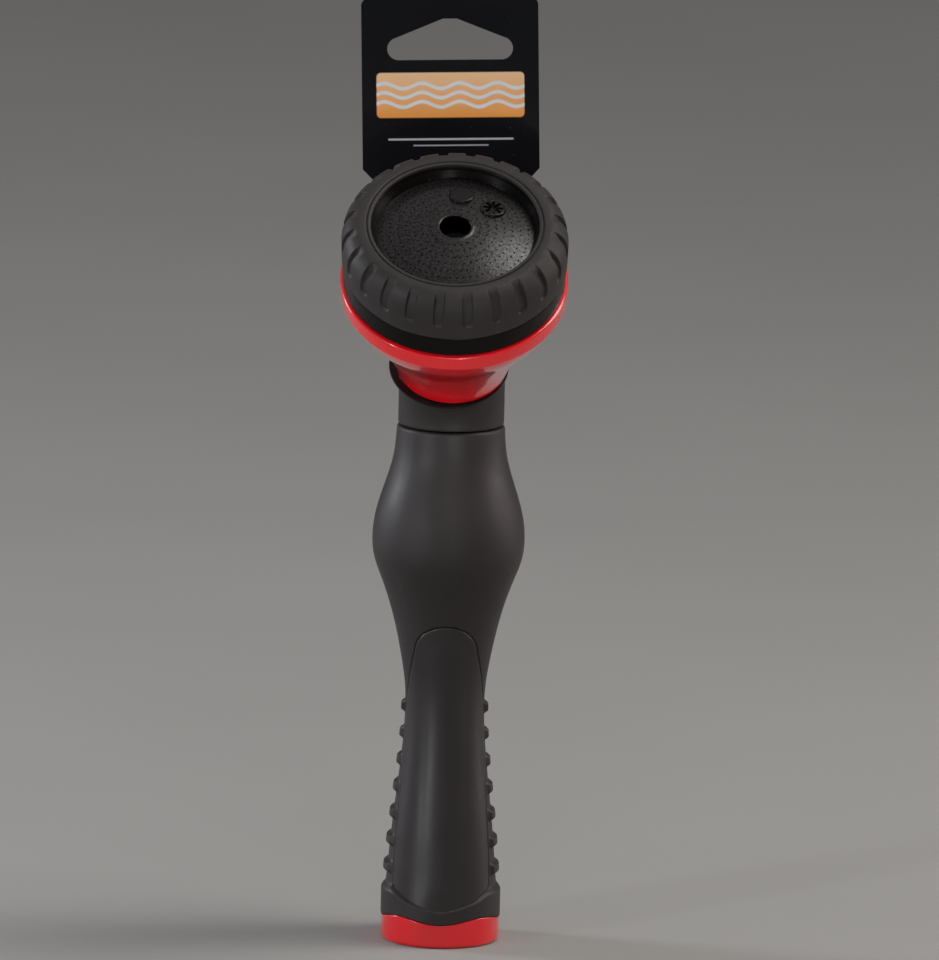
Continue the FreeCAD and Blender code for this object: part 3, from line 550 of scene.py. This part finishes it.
def selector_skirt():
    """Gloss carrier: outer band below the rubber and the wall round the face."""
    corners = [
        (LIP_R, 0.1, 0.1),
        (RING_BORE_R, 0.1, 0.2),
        (RING_BORE_R, RING_FOOT, 0.2),
        (SKIRT_R, RING_FOOT, 0.4),
        (SKIRT_R, SKIRT_FOOT, 0.5),
        (33.5, SKIRT_FOOT, 0.3),
        (33.5, -17.6, 0.3),
        (28.4, -17.6, 0.3),
        (28.4, -20.2, 0.3),
        (23.4, -20.2, 0.3),
        (23.4, -5.3, 0.2),
        (PLATE_R, -5.3, 0.1),
        (PLATE_R, PLATE_EDGE, 0.3),
        (26.4, -0.9, 0.6),
    ]
    return lathe("selector_skirt_look", densify(rounded(corners, 0.15), 1.0), 360, on_head)


def selector_grip_outline():
    """Section of the rubber ring, and how many of its points come before the shoulder."""
    top = [(LIP_R, 0.6), (26.8, 0.95), (27.0, 1.12), (27.3, 1.2), (27.7, 1.18), (27.85, 1.0), (27.92, 0.62)]
    top += [(28.12, 0.62), (28.22, 1.0), (28.4, 1.17), (28.8, 1.22), (29.4, 1.22)]
    shoulder = []
    for t in np.linspace(0, math.pi / 2, 64):
        r = SHOULDER_X + (RING_R - SHOULDER_X) * math.sin(t)
        shoulder.append((r, SHOULDER_Z + SHOULDER_RISE * math.cos(t)))
    side = [(RING_R - 0.2 * k / 16, SHOULDER_Z - 7.4 * k / 16) for k in range(1, 17)]
    foot = [(35.7, -14.85), (35.45, -15.2), (35.1, -15.38), (32.0, RING_FOOT)]
    foot += [(RING_BORE_R + 0.05, RING_FOOT), (RING_BORE_R + 0.05, 0.15), (LIP_R, 0.15)]
    return np.array(top + shoulder + side + foot), len(top)


def selector_grip():
    """Rubber ring with round-ended finger notches sunk over its shoulder."""
    outline, shoulder_start = selector_grip_outline()
    length = np.concatenate([[0], np.cumsum(np.linalg.norm(np.diff(outline, axis=0), axis=1))])
    first = length[shoulder_start]
    tangent = np.gradient(outline, axis=0)
    tangent /= np.linalg.norm(tangent, axis=1)[:, None]
    inward = np.stack([tangent[:, 1], -tangent[:, 0]], axis=-1)
    start, end = first + 1.6, first + 12.4
    pitch = 2 * math.pi / NOTCHES

    def shape(r, z, turn):
        offset = (turn + math.pi / 2) % pitch - pitch / 2
        along = np.maximum(np.maximum(start - length, length - end), 0)[:, None]
        distance = np.sqrt(along**2 + (offset * r) ** 2)
        depth = NOTCH_DEPTH * smooth_step((NOTCH_HALF + 0.15 - distance) / 0.45)
        depth = depth * (1 - 0.4 * smooth_step((length - first - 5.0) / 7.0))[:, None]
        depth = depth * smooth_step((length - first) / 5.0)[:, None]
        return r + depth * inward[:, :1], z + depth * inward[:, 1:2]

    return lathe("selector_grip_look", outline, 1440, on_head, shape)


def mark_centre(angle):
    turn = math.radians(angle)
    return np.array([MARK_CIRCLE_R * math.cos(turn), MARK_CIRCLE_R * math.sin(turn)])


def spray_centres():
    """Middles of the spray holes, in staggered rings that leave the two marks free."""
    centres = []
    for ring in range(SPRAY_RINGS):
        radius = SPRAY_OUTER_R - ring * SPRAY_STEP
        count = SPRAY_OUTER_COUNT - SPRAY_COUNT_STEP * ring
        for i in range(count):
            turn = 2 * math.pi * (i + 0.5 * (ring % 2)) / count
            centre = np.array([radius * math.cos(turn), radius * math.sin(turn)])
            if min(np.linalg.norm(centre - mark_centre(a)) for a, _ in MARKS) > MARK_R + 0.65:
                centres.append(centre)
    return centres


def dome_height(points):
    return np.sqrt(DOME_R**2 - np.linalg.norm(points, axis=1) ** 2) - DOME_R


def star_depth(local, d):
    """Eight-armed star sunk into the shower mark."""
    turn = np.arctan2(local[:, 1], local[:, 0])
    spread = (turn + math.pi / 8) % (math.pi / 4) - math.pi / 8
    across = np.abs(d * np.sin(spread))
    petal = smooth_step((0.52 - across) / 0.2) * smooth_step((d - 0.6) / 0.3) * smooth_step((3.3 - d) / 0.3)
    middle = smooth_step((1.0 - d) / 0.25)
    return 1.2 * np.maximum(petal, middle)


def plate_height(points):
    """Domed face with a rounded mouth in the middle and two raised marks."""
    r = np.linalg.norm(points, axis=1)
    mouth = np.clip((JET_R + 0.55 - r) / 0.55, 0, 1)
    height = dome_height(points) + 0.15 * smooth_step((6.2 - r) / 0.5)
    height = height - 0.6 * (1 - np.sqrt(np.clip(1 - mouth**2, 0, 1)))
    for angle, star in MARKS:
        local = points - mark_centre(angle)
        d = np.linalg.norm(local, axis=1)
        edge = np.clip((MARK_R - d) / 0.6, 0, 1)
        cap = 1.0 * np.sqrt(np.clip(1 - (1 - edge) ** 2, 0, 1))
        if star:
            cap = cap - star_depth(local, d)
        height = height + np.where(d < MARK_R, cap, 0)
    return height


def face_plate():
    """Domed plate with the jet's mouth, the spray holes and the two marks."""
    outline = circle(PLATE_R, 360)
    holes = [circle(JET_R, 96)]
    holes += [circle(SPRAY_R, 10, x=c[0], y=c[1]) for c in spray_centres()]
    inner = [circle(r, 96) for r in (4.95, 5.03, 5.13, 5.26, 5.45, 5.7, 5.95, 6.2, 6.6, 7.2)]
    inner += [circle(r, 180) for r in (24.55, 24.2)]
    free = [np.array([x, y]) for x in np.arange(-24, 24.1, 0.62) for y in np.arange(-24, 24.1, 0.62)]
    free = np.array(free)
    r = np.linalg.norm(free, axis=1)
    keep = (r < 23.9) & (r > 7.4)
    for centre in spray_centres():
        keep &= np.linalg.norm(free - centre, axis=1) > 0.55
    for angle, star in MARKS:
        centre = mark_centre(angle)
        keep &= np.linalg.norm(free - centre, axis=1) > MARK_R + 0.35
        inner.append(circle(MARK_R + 0.02, 72, x=centre[0], y=centre[1]))
        inner += [circle(q, 72, x=centre[0], y=centre[1]) for q in (4.06, 3.98, 3.87, 3.72, 3.5, 3.25)]
        step = 0.16 if star else 0.5
        xs = np.arange(-3.2, 3.21, step)
        dots = np.array([(x, y) for x in xs for y in xs])
        inner.append(dots[np.linalg.norm(dots, axis=1) < 3.1] + centre)
    inner.append(free[keep])
    return slab(
        "face_plate_look",
        outline,
        holes,
        np.concatenate(inner),
        plate_height,
        lambda points: dome_height(points) - PLATE_THICKNESS,
        on_head,
    )


# ---------------------------------------------------------------- materials
class Nodes:
    """Small helper for building one material."""

    def __init__(self, name):
        self.material = bpy.data.materials.new(name)
        self.material.use_nodes = True
        self.tree = self.material.node_tree
        self.tree.nodes.clear()
        self.output = self.tree.nodes.new("ShaderNodeOutputMaterial")
        self.shader = self.tree.nodes.new("ShaderNodeBsdfPrincipled")
        self.join(self.shader.outputs[0], self.output.inputs[0])
        self.place = self.tree.nodes.new("ShaderNodeTexCoord").outputs["Object"]

    def join(self, source, socket):
        self.tree.links.new(source, socket)

    def feed(self, socket, value):
        if isinstance(value, bpy.types.NodeSocket):
            self.join(value, socket)
        else:
            socket.default_value = value

    def noise(self, scale, detail=4.0, rough=0.55, stretch=None):
        where = self.place
        if stretch is not None:
            mapping = self.tree.nodes.new("ShaderNodeMapping")
            mapping.inputs["Scale"].default_value = stretch
            self.join(where, mapping.inputs[0])
            where = mapping.outputs[0]
        node = self.tree.nodes.new("ShaderNodeTexNoise")
        node.inputs["Scale"].default_value = scale
        node.inputs["Detail"].default_value = detail
        node.inputs["Roughness"].default_value = rough
        self.join(where, node.inputs["Vector"])
        return node.outputs[0]

    def math(self, kind, a, b=0.0, c=0.0, clamp=False):
        node = self.tree.nodes.new("ShaderNodeMath")
        node.operation = kind
        node.use_clamp = clamp
        for socket, value in zip(node.inputs, (a, b, c)):
            self.feed(socket, value)
        return node.outputs[0]

    def spread(self, value, low, high, out_low=0.0, out_high=1.0):
        node = self.tree.nodes.new("ShaderNodeMapRange")
        self.feed(node.inputs["Value"], value)
        limits = {"From Min": low, "From Max": high, "To Min": out_low, "To Max": out_high}
        for key, number in limits.items():
            node.inputs[key].default_value = number
        return node.outputs[0]

    def mix(self, factor, a, b):
        node = self.tree.nodes.new("ShaderNodeMix")
        node.data_type = "RGBA"
        self.feed(node.inputs[0], factor)
        self.feed(node.inputs[6], a)
        self.feed(node.inputs[7], b)
        return node.outputs[2]

    def bump(self, height, strength, distance, before=None):
        node = self.tree.nodes.new("ShaderNodeBump")
        node.inputs["Strength"].default_value = strength
        node.inputs["Distance"].default_value = distance
        self.join(height, node.inputs["Height"])
        if before is not None:
            self.join(before, node.inputs["Normal"])
        return node.outputs[0]

    def edges(self):
        """Bright on worn outer edges, from the surface's own curvature."""
        geometry = self.tree.nodes.new("ShaderNodeNewGeometry")
        return self.spread(geometry.outputs["Pointiness"], 0.5, 0.62)


def shade(color, factor):
    return (color[0] * factor, color[1] * factor, color[2] * factor, 1.0)


def moulded(
    name,
    color,
    rough,
    variation=0.12,
    grain=900.0,
    grain_depth=0.00003,
    gloss=0.5,
    coat=0.0,
    worn=0.06,
    wavy=0.00008,
):
    """Moulded plastic or rubber: cloudy colour, uneven sheen, fine grain, dust and worn edges."""
    n = Nodes(name)
    cloud = n.spread(n.noise(45.0), 0.3, 0.7)
    base = n.mix(cloud, shade(color, 1 - variation), shade(color, 1 + variation))
    specks = n.spread(n.noise(1400.0, 2.0), 0.74, 0.80)
    base = n.mix(n.math("MULTIPLY", specks, 0.25), base, (0.5, 0.48, 0.46, 1.0))
    rubbed = [min(1, c * 2.5 + 0.05) for c in color]
    base = n.mix(n.math("MULTIPLY", n.edges(), worn, clamp=True), base, shade(rubbed, 1))
    n.feed(n.shader.inputs["Base Color"], base)
    sheen = n.noise(70.0, 5.0)
    n.feed(n.shader.inputs["Roughness"], n.spread(sheen, 0.3, 0.7, rough * 0.88, min(1.0, rough * 1.12)))
    n.shader.inputs["Specular IOR Level"].default_value = gloss
    n.shader.inputs["Coat Weight"].default_value = coat
    n.shader.inputs["Coat Roughness"].default_value = 0.05
    fine = n.bump(n.noise(grain, 3.0), 0.5, grain_depth)
    wide = n.bump(n.noise(60.0, 3.0), 0.25, wavy, fine)
    n.feed(n.shader.inputs["Normal"], wide)
    return n


def face_material():
    """Grained black plastic, with painted shade: the holes and the sunken star go near black below the
    domed surface and lose their highlights.
    """
    grained = {"variation": 0.15, "grain": 1700.0, "grain_depth": 0.00006, "worn": 0.02}
    n = moulded("face_satin", (0.013, 0.0112, 0.0110), 0.32, **grained)
    local = n.tree.nodes.new("ShaderNodeMapping")
    local.vector_type = "TEXTURE"
    local.inputs["Location"].default_value = tuple(HEAD_POINT * MM)
    local.inputs["Rotation"].default_value = (HEAD_TILT, 0.0, 0.0)
    n.join(n.place, local.inputs[0])
    split = n.tree.nodes.new("ShaderNodeSeparateXYZ")
    n.join(local.outputs[0], split.inputs[0])
    across = n.math("ADD", n.math("POWER", split.outputs[0], 2.0), n.math("POWER", split.outputs[1], 2.0))
    dome_r = DOME_R * MM
    dome = n.math("SUBTRACT", n.math("SQRT", n.math("SUBTRACT", dome_r**2, across)), dome_r)
    # Painted shade: a mask of where the surface lies below the dome, in the holes and the sunken star.
    sunk = n.spread(n.math("SUBTRACT", dome, split.outputs[2]), 0.00012, 0.00030)
    raised = n.spread(n.math("SUBTRACT", split.outputs[2], dome), 0.00020, 0.00040)
    speckle = n.spread(n.noise(1250.0, 3.0, 0.7), 0.38, 0.62)
    speckle = n.math("MULTIPLY", speckle, n.math("SUBTRACT", 1.0, n.math("MULTIPLY", raised, 0.85)))
    color = n.mix(speckle, (0.0040, 0.0033, 0.0032, 1.0), (0.0125, 0.0105, 0.0102, 1.0))
    # Painted shade: the colour goes near black where the surface lies below the dome.
    n.feed(n.shader.inputs["Base Color"], n.mix(sunk, color, (0.001, 0.001, 0.001, 1.0)))
    shine = n.math("MULTIPLY_ADD", speckle, 0.34, 0.22)
    # Painted shade: the specular level falls to nothing where the surface lies below the dome.
    n.feed(n.shader.inputs["Specular IOR Level"], n.math("MULTIPLY", shine, n.math("SUBTRACT", 1.0, sunk)))
    return n.material


def metal(name, color, rough):
    """Drawn or machined metal with fine streaks along Z."""
    n = Nodes(name)
    streak = n.noise(400.0, 4.0, 0.6, (1.0, 1.0, 0.05))
    base = n.mix(n.spread(streak, 0.3, 0.7), shade(color, 0.85), shade(color, 1.1))
    n.feed(n.shader.inputs["Base Color"], base)
    n.shader.inputs["Metallic"].default_value = 1.0
    n.feed(n.shader.inputs["Roughness"], n.spread(streak, 0.3, 0.7, rough * 0.8, rough * 1.3))
    n.feed(n.shader.inputs["Normal"], n.bump(streak, 0.2, 0.00003))
    return n.material


def card_material():
    """Gloss black printed sheet with a plain label of waves and two thin lines: no lettering."""
    film = {"variation": 0.2, "grain": 300.0, "grain_depth": 0.00001, "gloss": 0.16, "coat": 0.05}
    n = moulded("card_print", (0.003, 0.0035, 0.005), 0.24, **film)
    split = n.tree.nodes.new("ShaderNodeSeparateXYZ")
    n.join(n.place, split.inputs[0])
    x, y, z = split.outputs[0], split.outputs[1], split.outputs[2]
    up = n.math("SUBTRACT", z, CARD_PIVOT_Z)
    c, s = math.cos(CARD_LEAN), math.sin(CARD_LEAN)
    across = n.math("ADD", n.math("MULTIPLY", x, c), n.math("MULTIPLY", up, s))
    along = n.math("SUBTRACT", n.math("MULTIPLY", up, c), n.math("MULTIPLY", x, s))

    def panel(centre, half_width, half_height, corner):
        """Signed distance to a rounded rectangle, in metres."""
        dx = n.math("SUBTRACT", n.math("ABSOLUTE", across), half_width - corner)
        dz = n.math("SUBTRACT", n.math("ABSOLUTE", n.math("SUBTRACT", along, centre)), half_height - corner)
        ax, az = n.math("MAXIMUM", dx, 0.0), n.math("MAXIMUM", dz, 0.0)
        outside = n.math("SQRT", n.math("ADD", n.math("MULTIPLY", ax, ax), n.math("MULTIPLY", az, az)))
        within = n.math("MINIMUM", n.math("MAXIMUM", dx, dz), 0.0)
        return n.math("SUBTRACT", n.math("ADD", outside, within), corner)

    def ink(distance, soft=0.00015):
        """1 inside a signed distance, 0 outside it."""
        return n.spread(distance, -soft, soft, 1.0, 0.0)

    def wave(offset):
        """Thin wavy stripe at a height above the label's middle."""
        swing = n.math("MULTIPLY", n.math("SINE", n.math("MULTIPLY", across, 520.0)), 0.0009)
        gap = n.math("ABSOLUTE", n.math("SUBTRACT", along, n.math("ADD", swing, LABEL_MIDDLE + offset)))
        return ink(n.math("SUBTRACT", gap, 0.0006), 0.0002)

    front = n.spread(y, CARD_FRONT_Y + 0.0001, CARD_FRONT_Y, 0.0, 1.0)
    color = n.shader.inputs["Base Color"].links[0].from_socket
    half_width, half_height = LABEL_HALF
    label = n.math("MULTIPLY", ink(panel(LABEL_MIDDLE, half_width, half_height, 0.0014)), front)
    fade = n.spread(along, LABEL_MIDDLE - 0.0072, LABEL_MIDDLE + 0.0072)
    color = n.mix(label, color, n.mix(fade, (0.95, 0.38, 0.08, 1.0), (0.95, 0.62, 0.36, 1.0)))
    for offset in LABEL_WAVES:
        color = n.mix(n.math("MULTIPLY", wave(offset), label), color, (0.78, 0.82, 0.84, 1.0))
    for centre, half_length, half_thick, tone in LABEL_LINES:
        line = ink(panel(centre, half_length, half_thick, half_thick - 0.0001))
        color = n.mix(n.math("MULTIPLY", line, front), color, (tone, tone + 0.01, tone + 0.03, 1.0))
    n.feed(n.shader.inputs["Base Color"], color)
    return n.material


# Settings of moulded() that differ from its usual ones, for the slots that the photograph shows.
RED = {
    "variation": 0.05,
    "grain": 500.0,
    "grain_depth": 3e-6,
    "gloss": 0.30,
    "coat": 1.0,
    "worn": 0.02,
    "wavy": 4e-6,
}
BLACK = {"variation": 0.1, "grain": 500.0, "grain_depth": 4e-6, "gloss": 0.12, "worn": 0.01, "wavy": 2e-5}
GRIP = {"variation": 0.10, "grain": 1600.0, "grain_depth": 4e-5, "gloss": 0.40}
PANEL_SKIN = {"variation": 0.08, "grain": 1600.0, "grain_depth": 3e-5, "gloss": 0.45}
NECK = {"variation": 0.10, "grain": 1600.0, "grain_depth": 4e-5, "gloss": 0.30}
RING = {"variation": 0.12, "grain": 1600.0, "grain_depth": 4e-5, "gloss": 0.28}

MATERIALS = {
    "red_plastic": moulded("red_gloss", (0.74, 0.007, 0.013), 0.24, **RED).material,
    "black_plastic": moulded("black_satin", (0.014, 0.014, 0.015), 0.42).material,
    "gloss_black": moulded("black_gloss", (0.003, 0.0026, 0.0024), 0.28, **BLACK).material,
    "white_plastic": moulded("acetal", (0.62, 0.61, 0.58), 0.40, variation=0.05).material,
    "face_plastic": face_material(),
    "grip_rubber": moulded("grip_rubber_look", (0.0205, 0.0165, 0.0162), 0.52, **GRIP).material,
    "panel_rubber": moulded("panel_rubber_look", (0.0205, 0.0168, 0.0172), 0.40, **PANEL_SKIN).material,
    "neck_rubber": moulded("neck_rubber_look", (0.0225, 0.0185, 0.0180), 0.56, **NECK).material,
    "ring_rubber": moulded("ring_rubber_look", (0.0265, 0.0230, 0.0220), 0.56, **RING).material,
    "seal_rubber": moulded("seal_rubber_look", (0.010, 0.010, 0.010), 0.50).material,
    "steel": metal("steel_look", (0.56, 0.56, 0.57), 0.30),
    "brass": metal("brass_look", (0.70, 0.50, 0.20), 0.28),
    "card": card_material(),
}

record = frame["record"]
slot_of = {entry["node"]: entry["material_slot"] for entry in record["subparts"]}
for node, obj in frame["nodes"].items():
    obj.data.materials.clear()
    obj.data.materials.append(MATERIALS[slot_of[node]])

LOOKS = {
    "base_ring": (base_ring, "handle"),
    "grip_sleeve": (grip_sleeve, "handle"),
    "grip_front_panel": (grip_front_panel, "handle"),
    "neck": (neck, "handle"),
    "head_housing": (head_housing, "handle"),
    "selector_skirt": (selector_skirt, "spray_head"),
    "selector_grip": (selector_grip, "spray_head"),
    "face_plate": (face_plate, "spray_head"),
}
for node, (make, body) in LOOKS.items():
    piece = make()
    piece.data.materials.append(MATERIALS[slot_of[node]])
    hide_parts(node)
    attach(piece, body)

# ---------------------------------------------------------------- floor, light and camera
CAMERA_ELEVATION = math.radians(10.5)
CAMERA_ROLL = math.radians(1.3)
CAMERA_DISTANCE = 5.0
CAMERA_TARGET = (0.0063, 0.0, 0.1497)
FRAME_HEIGHT = 0.3072
# Soft boxes: name, place, height on the axis they look at, width, height, power and colour.
BOXES = [
    ("left_box", (-1.42, 0.42, 0.55), 0.15, 0.28, 0.6, 11.0, (0.90, 0.92, 1.0)),
    ("left_strip", (-1.19, -1.11, 0.36), 0.10, 0.12, 0.6, 7.5, (0.93, 0.96, 1.0)),
    ("right_box", (1.5, 0.1, 0.95), 0.15, 0.6, 1.0, 11.0, (1.0, 0.90, 0.85)),
    ("top_box", (0.49, -0.09, 1.25), 0.24, 0.34, 0.46, 5.0, (1.0, 0.99, 0.96)),
    ("front_fill", (0.1, -2.3, 1.4), 0.15, 1.2, 0.8, 11.0, (1.0, 0.97, 0.95)),
    ("right_low", (2.0, 0.62, 0.36), 0.15, 0.5, 0.5, 4.5, (1.0, 0.93, 0.91)),
]


def floor():
    """Wide pale floor."""
    reach = 40000.0
    corners = [(-reach, -reach, 0), (reach, -reach, 0), (reach, reach, 0), (-reach, reach, 0)]
    obj = build("floor", corners, [(0, 1, 2, 3)])
    n = Nodes("floor_paint")
    cloud = n.spread(n.noise(3.0), 0.3, 0.7)
    paint = n.mix(cloud, (0.295, 0.292, 0.280, 1.0), (0.315, 0.312, 0.300, 1.0))
    n.feed(n.shader.inputs["Base Color"], paint)
    n.shader.inputs["Roughness"].default_value = 0.9
    obj.data.materials.append(n.material)


def add_light(name, kind, energy, color, place, target):
    """Light of one kind at a place, aimed at a target."""
    data = bpy.data.lights.new(name, kind)
    data.energy = energy
    data.color = color
    obj = bpy.data.objects.new(name, data)
    obj.location = place
    obj.rotation_euler = (Vector(target) - Vector(place)).to_track_quat("-Z", "Y").to_euler()
    bpy.context.scene.collection.objects.link(obj)
    return data


def lights():
    """Dim surroundings, soft boxes round the object, an even light from above and a lift for the head."""
    world = bpy.data.worlds.new("studio")
    world.use_nodes = True
    world.node_tree.nodes["Background"].inputs[0].default_value = (0.98, 0.98, 1.0, 1.0)
    world.node_tree.nodes["Background"].inputs[1].default_value = 0.13
    bpy.context.scene.world = world
    bpy.context.scene.view_settings.view_transform = "Standard"
    for name, place, look_z, width, height, power, color in BOXES:
        box = add_light(name, "AREA", power, color, place, (0, 0, look_z))
        box.shape = "RECTANGLE"
        box.size = width
        box.size_y = height
    sky = add_light("overhead", "SUN", 0.45, (1.0, 0.98, 0.96), (0, 0, 3), (0, 0, 0))
    sky.angle = 1.6
    lift = add_light("head_lift", "SPOT", 5.0, (1.0, 1.0, 1.0), (0.10, -0.70, 0.04), (0, -0.05, 0.185))
    lift.spot_size = math.radians(11.0)
    lift.spot_blend = 1.0
    lift.shadow_soft_size = 0.03


def camera():
    """Long lens, slightly above, with a small roll, as in the reference view."""
    away = Vector((0.0, -math.cos(CAMERA_ELEVATION), math.sin(CAMERA_ELEVATION)))
    data = bpy.data.cameras.new("camera")
    data.sensor_width = 36.0  # spans the picture's longer side, which is its height
    data.lens = data.sensor_width * CAMERA_DISTANCE / FRAME_HEIGHT
    data.clip_end = 100.0
    obj = bpy.data.objects.new("camera", data)
    look = (-away).to_track_quat("-Z", "Y").to_matrix().to_4x4()
    place = Matrix.Translation(Vector(CAMERA_TARGET) + away * CAMERA_DISTANCE)
    obj.matrix_world = place @ look @ Matrix.Rotation(CAMERA_ROLL, 4, "Z")
    bpy.context.scene.collection.objects.link(obj)
    bpy.context.scene.camera = obj


floor()
lights()
camera()

bpy.context.view_layer.update()
